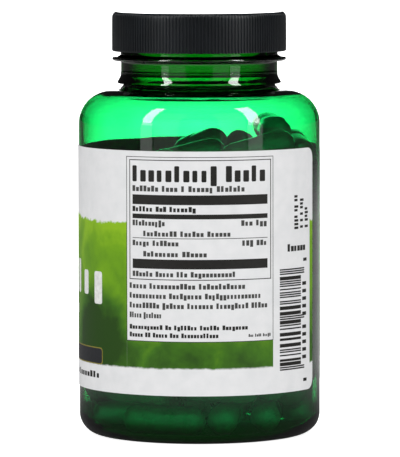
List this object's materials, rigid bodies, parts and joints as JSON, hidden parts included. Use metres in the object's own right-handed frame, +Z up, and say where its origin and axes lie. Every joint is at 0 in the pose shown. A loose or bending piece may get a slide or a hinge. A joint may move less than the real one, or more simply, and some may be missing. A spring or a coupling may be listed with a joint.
{
  "type": "supplement bottle",
  "caption": "Round translucent green plastic bottle with a ribbed black screw cap, a wrap label and a fill of two-part capsules.",
  "frame": {"origin": "centre of the ring that the bottle stands on, at table height", "axes": "+Z up along the bottle's axis; -Y towards the side that the picture shows"},
  "size_m": [0.0664, 0.0664, 0.1155],
  "materials": {
    "green_pet": "gloss, translucent",
    "black_pp": "satin",
    "pulp_board": "matt",
    "label_paper": "semi-gloss coated",
    "capsule_shell": "gloss"
  },
  "bodies": {
    "bottle": {"bottle": "green_pet", "label": "label_paper", "capsule_01": "capsule_shell", "capsule_02": "capsule_shell", "capsule_03": "capsule_shell", "capsule_04": "capsule_shell", "capsule_05": "capsule_shell", "capsule_06": "capsule_shell", "capsule_07": "capsule_shell", "capsule_08": "capsule_shell", "capsule_09": "capsule_shell", "capsule_10": "capsule_shell", "capsule_11": "capsule_shell", "capsule_12": "capsule_shell", "capsule_13": "capsule_shell", "capsule_14": "capsule_shell", "capsule_15": "capsule_shell", "capsule_16": "capsule_shell", "capsule_17": "capsule_shell", "capsule_18": "capsule_shell", "capsule_19": "capsule_shell", "capsule_20": "capsule_shell", "capsule_21": "capsule_shell", "capsule_22": "capsule_shell", "capsule_23": "capsule_shell", "capsule_24": "capsule_shell", "capsule_25": "capsule_shell", "capsule_26": "capsule_shell", "capsule_27": "capsule_shell", "capsule_28": "capsule_shell", "capsule_29": "capsule_shell", "capsule_30": "capsule_shell", "capsule_31": "capsule_shell", "capsule_32": "capsule_shell", "capsule_33": "capsule_shell", "capsule_34": "capsule_shell", "capsule_35": "capsule_shell", "capsule_36": "capsule_shell", "capsule_37": "capsule_shell", "capsule_38": "capsule_shell", "capsule_39": "capsule_shell", "capsule_40": "capsule_shell", "capsule_41": "capsule_shell", "capsule_42": "capsule_shell", "capsule_43": "capsule_shell", "capsule_44": "capsule_shell", "capsule_45": "capsule_shell", "capsule_46": "capsule_shell", "capsule_47": "capsule_shell", "capsule_48": "capsule_shell", "capsule_49": "capsule_shell", "capsule_heap": "capsule_shell"},
    "lift": {"cap_liner": "pulp_board"},
    "cap": {"cap": "black_pp"}
  },
  "joints": [
    {"name": "cap_lift", "type": "slide", "parent": "bottle", "child": "lift", "axis": [0, 0, 1], "range_m": [0, 0.0127]},
    {"name": "cap_turn", "type": "hinge", "parent": "lift", "child": "cap", "pos_m": [0, 0, 0.11], "axis": [0, 0, 1], "range_deg": [0, 1080]}
  ],
  "couplings": [
    {"joint": "cap_lift", "follows": "cap_turn", "m_per_rad": 0.0006737}
  ]
}
